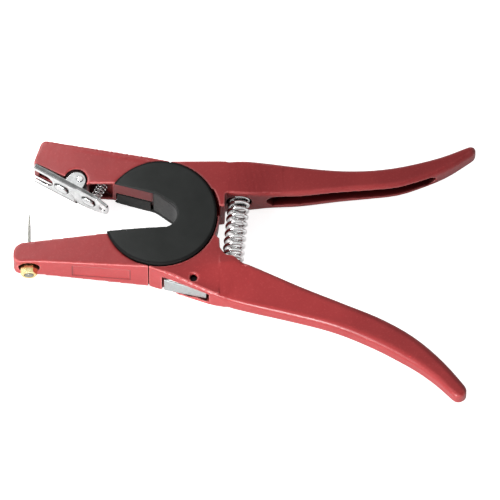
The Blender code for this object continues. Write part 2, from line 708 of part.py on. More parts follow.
def make_needle_arm(paint):
    seam_top = seam_point(TOP_SEAM_RADIUS, TOP_SEAM, -1)
    seam_low = seam_point(LOW_SEAM_RADIUS, BOTTOM_SEAM, -1)
    web_low = seam_point(WEB_RADIUS, BOTTOM_SEAM, -1)
    end = NEEDLE_JAW_TOP_OUT[0]
    wall_in = (MOUTH_LOW_IN[0], MOUTH_LOW_IN[1] - LOW_WALL_SETBACK)
    web = arc(HUB, WEB_RADIUS, HEEL_TOP, BOTTOM_SEAM - 2 * math.pi, 40)
    outline = rounded([
        (*HUB, 0), (*seam_top, 0), (*TOP_ROOT_END[0], 0), (*TOP_ROOT_END[1], 0), (0.0351, 0.0132, 0),
        (0.0347, 0.0056, 0.0008), (0.0312, 0.0052, 0.0006), (0.0296, 0.0045, 0),
    ])
    outline += web[1:-1] + [web_low, seam_low]
    outline += rounded([
        (-0.0200, needle_jaw_edge(-0.0200), 0), (NEEDLE_JAW_LEVEL_X, NEEDLE_JAW_BOTTOM, 0.02),
        (end, NEEDLE_JAW_BOTTOM + 0.0004, 0.0035), (*NEEDLE_JAW_TOP_OUT, 0.0058),
        (*NEEDLE_JAW_TOP_IN, 0.01), (*wall_in, 0),
    ])
    arm = add_mesh("needle_arm", arm_plate(outline), paint)
    round_edges(arm, 0.0007)
    grip = add_mesh("needle_arm_grip", handle(TOP_STATIONS, 26, 0.0040))
    combine(arm, [grip], "UNION")
    cuts = [add_mesh("needle_arm_lap", lap_cutter(-LAP_GAP / 2, PAST, RIM_LOW, RIM_STEP))]
    cuts += hub_cuts("needle_arm")
    slot = channel_cutter(TOP_STATIONS, 44, True, TOP_SLOT_START, TOP_SLOT_END)
    cuts.append(add_mesh("needle_arm_slot", slot))
    cuts.append(spring_pocket("needle_arm_spring_pocket", SPRING_TOP, SPRING_LOW, 0.0))
    cuts.append(add_mesh("needle_arm_panel", panel_cutter()))
    stem = cylinder(STEM_RADIUS + HOLE_GAP, -PAST, PAST, 24)
    cuts.append(add_mesh("needle_arm_stem_hole", moved(stem, along_y(NEEDLE_X, NEEDLE_JAW_TOP_OUT[1]))))
    pocket = cylinder(NUT_POCKET_RADIUS, -0.010, NUT_POCKET_DEPTH, 32)
    seat = along_y(NEEDLE_X, needle_jaw_edge(NEEDLE_X))
    cuts.append(add_mesh("needle_arm_nut_pocket", moved(pocket, seat)))
    combine(arm, cuts)
    shade(arm)
    return arm


def panel_cutter():
    """The shallow bare panel on the needle jaw's outer face."""
    low, high = needle_jaw_edge(PANEL_START), needle_jaw_edge(PANEL_END)
    outline = rounded([
        (PANEL_START, -PANEL_HALF, 0.001), (PANEL_END, -PANEL_HALF, 0.001),
        (PANEL_END, PANEL_HALF, 0.001), (PANEL_START, PANEL_HALF, 0.001),
    ])
    build = bmesh.new()
    inner = []
    outer = []
    for x, z in outline:
        edge = low + (high - low) * (x - PANEL_START) / (PANEL_END - PANEL_START)
        inner.append(build.verts.new((x, edge + PANEL_DEPTH, z)))
        outer.append(build.verts.new((x, edge - 0.004, z)))
    build.faces.new(inner)
    build.faces.new(outer[::-1])
    for i in range(len(inner)):
        j = (i + 1) % len(inner)
        build.faces.new((inner[i], outer[i], outer[j], inner[j]))
    return build


def make_bush(plastic):
    height = WEB_HALF + COVER_SEAT_GAP - BUSH_GAP
    bush = add_mesh("hub_bush", hub_disc(BORE_RADIUS - BUSH_GAP, -height, height), plastic)
    cuts = [add_mesh("hub_bush_mouth", prism(mouth_outline(), -PAST, PAST))]
    for i, angle in enumerate(SCREW_ANGLES):
        hole = moved(cylinder(SCREW_RADIUS + HOLE_GAP, -PAST, PAST, 16), at(*polar(SCREW_CIRCLE, angle)))
        cuts.append(add_mesh("hub_bush_hole_%d" % (i + 1), hole))
    combine(bush, cuts)
    shade(bush)
    return bush


def cover_face(x):
    """The height of a cover's outer face, which follows the taper of the jaws."""
    return MIDDLE - COVER_FALL * min(0.0, x) ** 2


def cover_plate():
    """The front cover's plate: a disc with a rounded rim and a face that falls towards the jaws."""
    low = WEB_HALF + COVER_SEAT_GAP
    leans = [math.radians(angle) for angle in (0, 30, 60, 90)]
    levels = [(0.0, None)] + [(1 - math.cos(a), 1 - math.sin(a)) for a in leans]
    count = 72
    build = bmesh.new()
    rows = []
    for inset, drop in levels:
        row = []
        for x, y in arc(HUB, COVER_RADIUS - inset * COVER_EDGE_ROUND, 0, 2 * math.pi, count)[:-1]:
            face = cover_face(x)
            rounding = min(COVER_EDGE_ROUND, 0.6 * (face - low))
            row.append(build.verts.new((x, y, low if drop is None else face - drop * rounding)))
        rows.append(row)
    build.faces.new(rows[0][::-1])
    for near, far in zip(rows, rows[1:]):
        for i in range(count):
            j = (i + 1) % count
            build.faces.new((near[i], near[j], far[j], far[i]))
    top = rows[-1]
    for i in range(count // 2):
        strip = dict.fromkeys((top[i], top[i + 1], top[count - i - 1], top[-i]))
        build.faces.new(list(strip))
    return build


def skirt():
    """The back cover's lip along the mouth's upper wall, over-wide: the mouth's cut gives its face."""
    seat = -WEB_HALF - COVER_SEAT_GAP
    low, high = seat - 0.0005, seat + SKIRT_DEPTH
    side = rounded([
        (SKIRT_OUT, low, 0), (SKIRT_IN, low, 0), (SKIRT_IN, high, 0), (SKIRT_OUT, high, SKIRT_ROUND),
    ])
    build = bmesh.new()
    inner = [build.verts.new((x, mouth_edge(x) - SKIRT_THICKNESS, z)) for x, z in side]
    outer = [build.verts.new((x, mouth_edge(x) + SKIRT_THICKNESS, z)) for x, z in side]
    build.faces.new(inner)
    build.faces.new(outer[::-1])
    for i in range(len(side)):
        j = (i + 1) % len(side)
        build.faces.new((inner[i], outer[i], outer[j], inner[j]))
    return build


def make_cover(name, side, plastic):
    """The front cover (side 1), whose edge overhangs the wall, or the back cover, with its skirt."""
    flip = Matrix.Scale(-1, 4, (0, 0, 1)) if side < 0 else Matrix.Identity(4)
    cover = add_mesh(name, moved(cover_plate(), flip), plastic)
    if side < 0:
        combine(cover, [add_mesh(name + "_skirt", skirt())], "UNION")
    lip = FRONT_LIP if side > 0 else 0.0
    combine(cover, [add_mesh(name + "_mouth", prism(mouth_outline(lip), -PAST, PAST))])
    cuts = []
    for i, angle in enumerate(SCREW_ANGLES):
        place = at(*polar(SCREW_CIRCLE, angle))
        if side > 0:
            reach = WEB_HALF + COVER_SEAT_GAP + SCREW_REACH + HOLE_GAP
            hole = cylinder(SCREW_RADIUS + HOLE_GAP, 0.0, reach, 16)
        else:
            radius = SCREW_RADIUS + HOLE_GAP
            head = SCREW_HEAD_RADIUS + HOLE_GAP
            seat = -MIDDLE + SCREW_HEAD_HEIGHT + 2 * HOLE_GAP
            profile = ((0, -PAST), (head, -PAST), (head, seat), (radius, seat), (radius, 0.0), (0, 0.0))
            hole = turned(profile, 16)
        cuts.append(add_mesh("%s_hole_%d" % (name, i + 1), moved(hole, place)))
    combine(cover, cuts)
    shade(cover)
    return cover


def make_cover_screws(steel):
    """Three screws from the back cover, through the bush, into the front cover."""
    made = []
    top = WEB_HALF + COVER_SEAT_GAP + SCREW_REACH
    seat = -MIDDLE + SCREW_HEAD_HEIGHT + HOLE_GAP
    head = seat - SCREW_HEAD_HEIGHT
    for i, angle in enumerate(SCREW_ANGLES):
        profile = (
            (0, head), (SCREW_HEAD_RADIUS - TURNED_EDGE, head), (SCREW_HEAD_RADIUS, head + TURNED_EDGE),
            (SCREW_HEAD_RADIUS, seat), (SCREW_RADIUS, seat), (SCREW_RADIUS, top - 0.0005), (0, top),
        )
        build = moved(turned(profile, 16), at(*polar(SCREW_CIRCLE, angle)))
        screw = add_mesh("cover_screw_%d" % (i + 1), build, steel)
        shade(screw)
        made.append(screw)
    return made


def make_main_spring(chrome):
    top = Vector((*SPRING_TOP, 0))
    low = Vector((*SPRING_LOW, 0))
    axis = (top - low).normalized()
    start = low - axis * (SPRING_POCKET_DEPTH - SPRING_LOW_LIFT - HOLE_GAP)
    end = top + axis * (SPRING_POCKET_DEPTH - HOLE_GAP)
    turn = Vector((0, 0, 1)).rotation_difference(axis).to_matrix().to_4x4()
    coil = helix(SPRING_RADIUS, SPRING_WIRE, SPRING_TURNS, (end - start).length)
    spring = add_mesh("main_spring", moved(coil, Matrix.Translation(start) @ turn), chrome)
    shade(spring, 60)
    return spring


def clip_plan(inset, front):
    """Half of the clip's plan outline, as (u, z) points from the front to the tail's tip."""
    half = CLIP_HALF - inset
    tail = CLIP_TAIL_HALF - inset
    return [
        (front, half, 0), (CLIP_STEP + 0.0040, half, 0.006), (CLIP_TAIL - 0.0070, tail, 0.006),
        (CLIP_TAIL - inset, 0.0042 - inset * 0.4, 0.003),
    ]


def plate_prism(outline, low, high):
    """A solid over a (u, z) outline between two heights above the clip's plate."""
    build = bmesh.new()
    top = [build.verts.new((*clip_frame(u, high), z)) for u, z in outline]
    under = [build.verts.new((*clip_frame(u, low), z)) for u, z in outline]
    build.faces.new(top)
    build.faces.new(under[::-1])
    for i in range(len(top)):
        j = (i + 1) % len(top)
        build.faces.new((top[i], under[i], under[j], top[j]))
    return build


def both_sides(half_outline):
    return rounded(half_outline + [(u, -z, r) for u, z, r in reversed(half_outline)])


def make_clip(chrome):
    """The pressed clip: a shallow tray with a forked front, two ears for its pin, two beads and a tail."""
    floor = CLIP_FACE + CLIP_SHEET
    solid = plate_prism(both_sides(clip_plan(0.0, CLIP_FRONT)), CLIP_FACE, CLIP_RIM)
    clip = add_mesh("clip_plate", solid, chrome, CLIP_PIVOT)
    ears = []
    ear = arc(EAR_CENTRE, EAR_RADIUS, 0, math.pi, 14)
    ear += [(EAR_CENTRE[0] - EAR_RADIUS - 0.0008, floor), (EAR_CENTRE[0] + EAR_RADIUS, floor)]
    for side, name in ((1, "front"), (-1, "back")):
        ends = sorted((side * CLIP_HALF, side * (CLIP_HALF - CLIP_SHEET)))
        ears.append(add_mesh("clip_plate_ear_" + name, moved(prism(ear, *ends), clip_matrix(0, 0))))
    combine(clip, ears, "UNION")
    open_front = CLIP_FRONT - 0.004
    tray = [(u, z, r) for u, z, r in clip_plan(CLIP_SHEET, open_front)]
    shelf = [(open_front, CLIP_HALF - CLIP_SHEET, 0), (CLIP_STEP, CLIP_HALF - CLIP_SHEET, 0)]
    around = [
        (CLIP_STEP - 0.0035, 0.0020, 0.003), (CLIP_STEP - 0.0012, 0.0075, 0.004),
        (CLIP_STEP + 0.004, 0.013, 0), (CLIP_TAIL + 0.004, 0.013, 0),
    ]
    fork = rounded([
        (open_front, -FORK_HALF, 0), (CLIP_FRONT + FORK_DEPTH, -FORK_HALF, FORK_HALF),
        (CLIP_FRONT + FORK_DEPTH, FORK_HALF, FORK_HALF), (open_front, FORK_HALF, 0),
    ])
    hole = rounded([
        (CLIP_TAIL - 0.0052, -0.0026, 0.0018), (CLIP_TAIL - 0.0016, -0.0026, 0.0018),
        (CLIP_TAIL - 0.0016, 0.0026, 0.0018), (CLIP_TAIL - 0.0052, 0.0026, 0.0018),
    ])
    below = CLIP_FACE - 0.002
    pin_hole = moved(cylinder(PIN_RADIUS + HOLE_GAP, -PAST, PAST, 20), at(*CLIP_PIVOT))
    cuts = [
        add_mesh("clip_plate_tray", plate_prism(both_sides(tray), floor + CLIP_STEP_RISE, 0.006)),
        add_mesh("clip_plate_shelf", plate_prism(both_sides(shelf), floor, 0.005)),
        add_mesh("clip_plate_step", plate_prism(both_sides(around), below, CLIP_FACE + CLIP_STEP_RISE)),
        add_mesh("clip_plate_fork", plate_prism(fork, below, 0.004)),
        add_mesh("clip_plate_tail_hole", plate_prism(hole, below, 0.004)),
        add_mesh("clip_plate_pin_hole", pin_hole),
    ]
    combine(clip, cuts)
    beads = [
        add_mesh("clip_plate_bead_front", bead(*FRONT_BEAD, CLIP_FACE)),
        add_mesh("clip_plate_bead_tail", bead(*TAIL_BEAD, CLIP_FACE + CLIP_STEP_RISE)),
    ]
    combine(clip, beads, "UNION")
    shade(clip)
    return clip


def bead(start, end, surface):
    """A raised oval stiffening bead on the outer face of the clip's plate."""
    build = bmesh.new()
    rings = []
    for inset, height in ((0.0, 0.0003), (0.0, -0.25), (0.2, -0.75), (0.5, -1.0)):
        width = BEAD_HALF * (1 - inset)
        drop = height if height > 0 else height * BEAD_HEIGHT
        outline = arc((end - BEAD_HALF, 0), width, -math.pi / 2, math.pi / 2, 8)
        outline += arc((start + BEAD_HALF, 0), width, math.pi / 2, 3 * math.pi / 2, 8)
        rings.append([build.verts.new((*clip_frame(u, surface + drop), z)) for u, z in outline])
    build.faces.new(rings[0])
    build.faces.new(rings[-1][::-1])
    for near, far in zip(rings, rings[1:]):
        for i in range(len(near)):
            j = (i + 1) % len(near)
            build.faces.new((near[i], near[j], far[j], far[i]))
    return build


def make_clip_pin(chrome):
    head = CLIP_HALF + HOLE_GAP
    end = head + PIN_HEAD_HEIGHT
    edge = PIN_HEAD_RADIUS - TURNED_EDGE
    profile = (
        (0, -end), (edge, -end), (PIN_HEAD_RADIUS, -end + TURNED_EDGE), (PIN_HEAD_RADIUS, -head),
        (PIN_RADIUS, -head), (PIN_RADIUS, head),
        (PIN_HEAD_RADIUS, head), (PIN_HEAD_RADIUS, end - TURNED_EDGE), (edge, end), (0, end),
    )
    pin = add_mesh("clip_pin", moved(turned(profile, 24), at(*CLIP_PIVOT)), chrome)
    shade(pin)
    return pin


def make_clip_spring(chrome):
    """The clip's spring, from the tail's inner face to the slanted seat in the jaw."""
    foot = Vector(clip_frame(CLIP_SPRING_FOOT, CLIP_FACE + CLIP_SHEET + CLIP_STEP_RISE + HOLE_GAP))
    up = Vector((-math.sin(CLIP_TILT), math.cos(CLIP_TILT)))
    length = (Vector(POCKET_SEAT) - foot).dot(up) - HOLE_GAP
    turn = Vector((0, 0, 1)).rotation_difference(Vector((up.x, up.y, 0))).to_matrix().to_4x4()
    coil = helix(CLIP_SPRING_RADIUS, CLIP_SPRING_WIRE, CLIP_SPRING_TURNS, length, 14, 6)
    spring = add_mesh("clip_spring", moved(coil, Matrix.Translation((foot.x, foot.y, 0)) @ turn), chrome)
    shade(spring, 60)
    return spring


def make_needle(steel):
    """Needle, shoulder and stem in one turned piece, pointing up from the needle jaw."""
    base = line_y(NEEDLE_JAW_TOP_IN, NEEDLE_JAW_TOP_OUT, NEEDLE_X + SHOULDER_RADIUS) + HOLE_GAP
    end = needle_jaw_edge(NEEDLE_X) - NUT_LENGTH + NUT_POCKET_DEPTH - 0.0006
    tip = base + NEEDLE_LENGTH
    profile = (
        (0, end), (STEM_RADIUS - TURNED_EDGE, end), (STEM_RADIUS, end + TURNED_EDGE),
        (STEM_RADIUS, base), (SHOULDER_RADIUS, base),
        (SHOULDER_RADIUS, base + 0.0008), (NEEDLE_RADIUS, base + SHOULDER_HEIGHT),
        (NEEDLE_RADIUS * 0.86, base + NEEDLE_LENGTH * 0.55), (NEEDLE_RADIUS * 0.55, tip - 0.0032),
        (NEEDLE_RADIUS * 0.1, tip), (0, tip),
    )
    needle = add_mesh("needle", moved(turned(profile, 20), along_y(NEEDLE_X, 0.0)), steel)
    shade(needle)
    return needle


def make_nut(brass):
    """The hexagon nut, chamfered at both ends, screwed up into its pocket."""
    start = needle_jaw_edge(NEEDLE_X) + NUT_POCKET_DEPTH - HOLE_GAP
    end = start - NUT_LENGTH
    corner = NUT_FLATS / 2 / math.cos(math.pi / 6)
    hexagon = arc((0, 0), corner, 0, 2 * math.pi, 6)[:-1]
    nut = add_mesh("needle_nut", moved(prism(hexagon, end, start), along_y(NEEDLE_X, 0.0)), brass)
    flat = NUT_FLATS / 2
    cone = turned((
        (0, end - 0.0001), (flat - 0.0002, end - 0.0001), (flat + 0.0009, end + NUT_CHAMFER),
        (flat + 0.0009, start - NUT_CHAMFER), (flat - 0.0002, start + 0.0001), (0, start + 0.0001),
    ), 36)
    chamfer = add_mesh("needle_nut_chamfer", moved(cone, along_y(NEEDLE_X, 0.0)))
    combine(nut, [chamfer], "INTERSECT")
    bore = cylinder(STEM_RADIUS + HOLE_GAP, -0.05, 0.0, 24)
    combine(nut, [add_mesh("needle_nut_bore", moved(bore, along_y(NEEDLE_X, 0.0)))])
    shade(nut)
    return nut


def make_latch(steel, dark):
    """The steel plate in the window, and the pin across the casting that holds it."""
    edge = window_edge
    left, right = WINDOW_LEFT + 0.0010, WINDOW_RIGHT - 0.0012
    px, py = LATCH_PIVOT
    reach = LATCH_PIN_RADIUS + LATCH_LUG_WALL
    outline = rounded([
        (left, edge(left) + 0.0002, 0.0004), (right, edge(right) + 0.0016, 0.0004),
        (right, edge(right) + 0.0016 + LATCH_THICKNESS, 0.0004), (px + reach, py - 0.0002, 0.001),
        (px + reach * 0.7, py + reach, 0.002), (px - reach * 0.7, py + reach, 0.002),
        (px - reach - 0.001, edge(px) + 0.0016 + LATCH_THICKNESS, 0.001),
        (left, edge(left) + 0.0002 + LATCH_THICKNESS * 0.6, 0.0004),
    ])
    def back(x, y):
        return window_back(x, y) + LATCH_BACK_GAP
    def front(x, y):
        return min(WINDOW_FRONT - HOLE_GAP, LATCH_FRONT + LATCH_FRONT_RISE * (x - left))
    plate = add_mesh("latch_plate", prism(outline, back, front), steel)
    hole = moved(cylinder(LATCH_PIN_RADIUS + HOLE_GAP, -PAST, PAST, 20), at(*LATCH_PIVOT))
    combine(plate, [add_mesh("latch_plate_hole", hole)])
    shade(plate)
    rod = moved(cylinder(LATCH_PIN_RADIUS, -LATCH_PIN_HALF, LATCH_PIN_HALF, 20), at(*LATCH_PIVOT))
    pin = add_mesh("latch_pin", rod, dark)
    shade(pin)
    return plate, pin


def main():
    clear_scene()
    paint = material("red_paint", (0.36, 0.035, 0.045), 0.42)
    plastic = material("black_plastic", (0.022, 0.022, 0.022), 0.45)
    chrome = material("chrome", (0.86, 0.87, 0.87), 0.12, 1.0)
    steel = material("steel", (0.60, 0.62, 0.62), 0.32, 1.0)
    dark = material("dark_steel", (0.08, 0.07, 0.07), 0.50, 1.0)
    brass = material("brass", (0.80, 0.58, 0.26), 0.25, 1.0)
    make_clip_arm(paint)
    make_needle_arm(paint)
    make_bush(plastic)
    make_cover("front_cover", 1, plastic)
    make_cover("back_cover", -1, plastic)
    make_cover_screws(steel)
    make_main_spring(chrome)
    make_clip(chrome)
    make_clip_pin(chrome)
    make_clip_spring(chrome)
    make_needle(steel)
    make_nut(brass)
    make_latch(steel, dark)


main()
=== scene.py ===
"""The looks of the ear tag applicator: cast red arms, black hub covers, chrome spring and clip, brass nut.

Metres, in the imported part's own frame: the origin is on the back cover's resting face, 20 mm from the
hub's centre line towards the handles.
"""

import math

import bmesh
import bpy
import numpy as np
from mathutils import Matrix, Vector


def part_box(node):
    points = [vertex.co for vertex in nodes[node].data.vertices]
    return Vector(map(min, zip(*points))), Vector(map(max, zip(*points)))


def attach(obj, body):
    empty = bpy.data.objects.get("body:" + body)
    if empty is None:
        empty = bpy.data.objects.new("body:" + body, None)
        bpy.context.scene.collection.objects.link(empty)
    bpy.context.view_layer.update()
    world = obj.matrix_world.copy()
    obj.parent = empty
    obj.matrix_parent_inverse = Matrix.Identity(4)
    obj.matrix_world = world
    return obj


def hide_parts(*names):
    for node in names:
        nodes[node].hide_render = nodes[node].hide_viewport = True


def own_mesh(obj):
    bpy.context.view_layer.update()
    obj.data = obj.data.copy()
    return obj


# The photograph's frame: its scale, the pixel that shows the plan's own origin, and the view's angle
IMAGE_PIXELS = 500
METRES_PER_PIXEL = 0.0005365
PLAN_PIXEL = (160.0, 224.6)
ELEVATION = math.radians(65.0)
CAMERA_DISTANCE = 8.0
SENSOR_MM = 36.0

# The studio: each lamp's place, width and watts, the point that they face, and the floor
LIGHTS = (
    ("key_light", (-0.37, -0.12, 0.35), 0.25, 1.5),
    ("sheen_light", (-0.22, 0.23, 0.34), 0.17, 0.90),
    ("front_light", (-0.14, -0.60, 0.05), 0.14, 5.2),
)
LIGHT_AIM = (0.04, -0.01, 0.0)
WORLD_LIGHT = 0.22
WORLD_BANDS = ((0.0, 0.50), (0.48, 0.90), (0.56, 0.25), (0.72, 0.70), (0.80, 0.35), (0.89, 0.95), (1.0, 0.70))
FLOOR_SIZE = 6.0
FLOOR_DROP = 0.0004
FLOOR_GLOW = 0.85
FLOOR_MIRRORED = 0.34

# Sizes repeated from the part, whose plan is drawn about a point off its origin
PLAN = Vector((-0.0200, -0.0008, 0.0142))
HUB = (-0.0200, 0.0)
COVER_RADIUS = 0.0305
COVER_RIM = (0.0016, 0.0007)

# The needle jaw's shallow panel: its ends along X and half its height, its side along Y, and its edge line
PANEL = (-0.0670, -0.0360, 0.0058)
PANEL_SIDE = (-0.0230, -0.0240)
PANEL_LINE = 0.00055

# The main spring; its push at the squeeze leans a little, so that its upper end stays in its pocket
SPRING_RADIUS = 0.0050
SPRING_WIRE = 0.0010
SPRING_TURNS = 11.5
SPRING_TOP = (0.0424, 0.0134)
SPRING_LOW = (0.0388, -0.0238)
SPRING_TOP_SINK = 0.0037
SPRING_LOW_SINK = 0.0029

# The clip's spring
CLIP_SPRING_RADIUS = 0.00255
CLIP_SPRING_WIRE = 0.00036
CLIP_SPRING_TURNS = 6.5

# A coil's end: the share of a turn that lies flat, and how far the pitch eases towards the ends
COIL_FLAT = 0.12
COIL_EASE = 0.35

# The clip plate, measured from its pivot along the plate, square to it and across it
CLIP_TILT = math.radians(-30.0)
CLIP_PIVOT = (-0.0630, 0.0220, 0.0142)
CLIP_HALF = 0.0092
CLIP_FACE = -0.0063
CLIP_STEP_RISE = 0.0006
CLIP_FACE_SLACK = 0.0002
CLIP_FACING = -0.3
CLIP_OUTSIDE = (-0.0040, -0.0046)

# The clip's beads, the painted shade lines that outline them, which lean with the height, and the fold's
# painted shade line
FRONT_BEAD = (-0.0126, -0.0032)
TAIL_BEAD = (0.0040, 0.0130)
BEAD_HALF = 0.0034
BEAD_HEIGHT = 0.0010
BEAD_SIDE = 0.0009
BEAD_LINE = 0.00060
BEAD_RING = 0.0029
BEAD_LEAN = 0.18
FOLD_LINE = 0.0016

# The clip's fork, whose slot opens from FORK_HALF to FORK_OPEN over a short way from its end
FORK_END = -0.0134
FORK_HALF = 0.0045
FORK_OPEN = 0.0054
FORK_START = 0.0012
FORK_WAY = 0.0015

# The arched recesses round the clip's ears: their centre, radius and outer edge, and how softly each ends
ARCH_CENTRE = (-0.0016, -0.0016)
ARCH_RADIUS = 0.0062
ARCH_BLEND = 0.0005
ARCH_EDGE = 0.0097
ARCH_EDGE_BLEND = 0.0008

# Where along X each arm's grip grows out of its root, and the line of the join: its two ends in plan, and
# how far the smoothing reaches past each of them
CLIP_ROOT = (-0.0270, 0.0120)
CLIP_SEAM = ((0.0233, -0.0278), (0.0150, -0.0471), -0.0010, 0.0040)
NEEDLE_ROOT = (0.0060, 0.0460)
NEEDLE_SEAM = ((0.0161, 0.0312), (0.0161, 0.0127), -0.0040, -0.0035)

# The join's filling and blending: reach and rounds. The flat faces' levelling: rounds, ends and flatness.
SEAM_FILL = (0.0032, 50)
SEAM_BLEND = (0.0045, 12)
SEAM_PULL = 0.7
LEVEL_ROUNDS = 300
LEVEL_END = 0.004
LEVEL_PULL = 0.8
LEVEL_FLATNESS = 0.90

# Voxel sizes of the softened pieces, and how far each round of smoothing goes
CAST_VOXEL = 0.00056
COVER_VOXEL = 0.00036
SHEET_VOXEL = 0.00020
NUT_VOXEL = 0.00014
SOFTENING = 0.5

BLACK = (0.0, 0.0, 0.0, 1.0)
WHITE = (1.0, 1.0, 1.0, 1.0)
SHADE = (0.02, 0.02, 0.02, 1.0)
PAINTED_SHADE = (0.03, 0.03, 0.03, 1.0)

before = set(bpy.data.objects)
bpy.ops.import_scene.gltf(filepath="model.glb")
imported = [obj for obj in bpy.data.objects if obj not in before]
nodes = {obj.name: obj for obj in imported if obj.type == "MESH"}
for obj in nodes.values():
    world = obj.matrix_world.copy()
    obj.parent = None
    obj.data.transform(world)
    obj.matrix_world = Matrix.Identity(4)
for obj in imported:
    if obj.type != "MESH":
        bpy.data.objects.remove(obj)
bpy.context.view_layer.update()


def srgb(red, green, blue):
    """A colour from its 0 to 255 values, in Blender's linear light."""
    shares = (red / 255, green / 255, blue / 255)
    linear = [share / 12.92 if share <= 0.04045 else ((share + 0.055) / 1.055) ** 2.4 for share in shares]
    return (*linear, 1.0)


def set_stops(band, stops):
    """Gives a colour ramp its positions and colours."""
    while len(band.elements) < len(stops):
        band.elements.new(0.5)
    for element, (position, colour) in zip(band.elements, stops):
        element.position = position
        element.color = colour


class Nodes:
    """A short way to build a material's node tree."""

    def __init__(self, name):
        self.material = bpy.data.materials.new(name)
        self.material.use_nodes = True
        self.tree = self.material.node_tree
        self.shader = self.tree.nodes["Principled BSDF"]
        self.place = self.tree.nodes.new("ShaderNodeTexCoord").outputs["Object"]

    def set_input(self, socket, value):
        """Links a socket to the value if that is a socket too, and otherwise sets it."""
        if isinstance(value, bpy.types.NodeSocket):
            self.tree.links.new(value, socket)
        else:
            socket.default_value = value

    def node(self, kind, inputs=None, **settings):
        made = self.tree.nodes.new(kind)
        for key, value in settings.items():
            setattr(made, key, value)
        for key, value in (inputs or {}).items():
            self.set_input(made.inputs[key], value)
        return made

    def noise(self, scale, detail=3.0):
        inputs = {"Vector": self.place, "Scale": scale, "Detail": detail}
        return self.node("ShaderNodeTexNoise", inputs).outputs["Fac"]

    def ramp(self, source, stops):
        made = self.node("ShaderNodeValToRGB", {"Fac": source})
        set_stops(made.color_ramp, stops)
        return made.outputs["Color"]

    def grey(self, source, low, high, start=0.3, end=0.7):
        """A number between low and high, from a noise."""
        return self.ramp(source, [(start, (low, low, low, 1)), (end, (high, high, high, 1))])

    def mix(self, factor, first, second):
        made = self.node("ShaderNodeMix", {0: factor}, data_type="RGBA")
        self.set_input(made.inputs[6], first)
        self.set_input(made.inputs[7], second)
        return made.outputs[2]

    def bump(self, height, strength, distance, below=None):
        inputs = {"Height": height, "Strength": strength, "Distance": distance}
        if below:
            inputs["Normal"] = below
        return self.node("ShaderNodeBump", inputs).outputs["Normal"]

    def edges(self, start=0.52, end=0.60):
        """White on convex edges, from the mesh's own pointiness."""
        source = self.node("ShaderNodeNewGeometry").outputs["Pointiness"]
        return self.ramp(source, [(start, BLACK), (end, WHITE)])

    def hollows(self, start=0.40, end=0.49):
        """White in concave corners."""
        source = self.node("ShaderNodeNewGeometry").outputs["Pointiness"]
        return self.ramp(source, [(start, WHITE), (end, BLACK)])

    def cavity(self, distance, start, end, alone=False):
        """White inside slots, pockets and gaps, which the piece alone, or all the pieces, hide."""
        settings = {"samples": 12, "only_local": alone}
        source = self.node("ShaderNodeAmbientOcclusion", {"Distance": distance}, **settings).outputs["AO"]
        return self.ramp(source, [(start, WHITE), (end, BLACK)])

    def math(self, operation, first, second=0.0):
        return self.node("ShaderNodeMath", {0: first, 1: second}, operation=operation).outputs[0]

    def axis(self, name):
        """One of the piece's own coordinates, in metres."""
        return self.node("ShaderNodeSeparateXYZ", {"Vector": self.place}).outputs[name]

    def beyond(self, source, centre, half):
        """How far the source lies outside a band about a centre, and below 0 inside it."""
        return self.math("SUBTRACT", self.math("ABSOLUTE", self.math("SUBTRACT", source, centre)), half)

    def distance(self, first, second):
        squares = self.math("MULTIPLY", first, first), self.math("MULTIPLY", second, second)
        return self.math("SQRT", self.math("ADD", *squares))

    def step(self, source, start, end):
        """Rises from 0 to 1 between two values of the source, or falls if the first is the larger."""
        inputs = {"Value": source, "From Min": start, "From Max": end}
        return self.node("ShaderNodeMapRange", inputs, interpolation_type="SMOOTHSTEP").outputs["Result"]

    def surface(self, **values):
        """Fills the shader's sockets, each named with underscores for spaces."""
        for key, value in values.items():
            self.set_input(self.shader.inputs[key.replace("_", " ")], value)
        return self.material


def clip_axes(n):
    """A point's place from the clip's pivot: along the plate, square to it and across it."""
    cos, sin = math.cos(CLIP_TILT), math.sin(CLIP_TILT)
    x, y, z = (n.math("SUBTRACT", n.axis(name), at) for name, at in zip("XYZ", CLIP_PIVOT))
    along = n.math("ADD", n.math("MULTIPLY", x, cos), n.math("MULTIPLY", y, sin))
    square = n.math("SUBTRACT", n.math("MULTIPLY", y, cos), n.math("MULTIPLY", x, sin))
    return along, square, z


def arch_shade(n):
    """The depth of the recesses round the clip's ears, which stay in shade."""
    along, square, z = clip_axes(n)
    offset = n.math("SUBTRACT", along, ARCH_CENTRE[0]), n.math("SUBTRACT", square, ARCH_CENTRE[1])
    inside = n.step(n.distance(*offset), ARCH_RADIUS + ARCH_BLEND, ARCH_RADIUS)
    within = n.step(n.math("ABSOLUTE", z), ARCH_EDGE, ARCH_EDGE - ARCH_EDGE_BLEND)
    return n.math("MULTIPLY", inside, within)


def panel_line(n):
    """The edge of the shallow panel in the needle jaw's outer face, drawn as a fine dark line."""
    left, right, half = PANEL
    along = n.beyond(n.axis("X"), (left + right) / 2, (right - left) / 2)
    across = n.beyond(n.axis("Z"), PLAN.z, half)
    edge = n.math("ABSOLUTE", n.math("MAXIMUM", along, across))
    return n.math("MULTIPLY", n.step(edge, PANEL_LINE, 0.0), n.step(n.axis("Y"), *PANEL_SIDE))


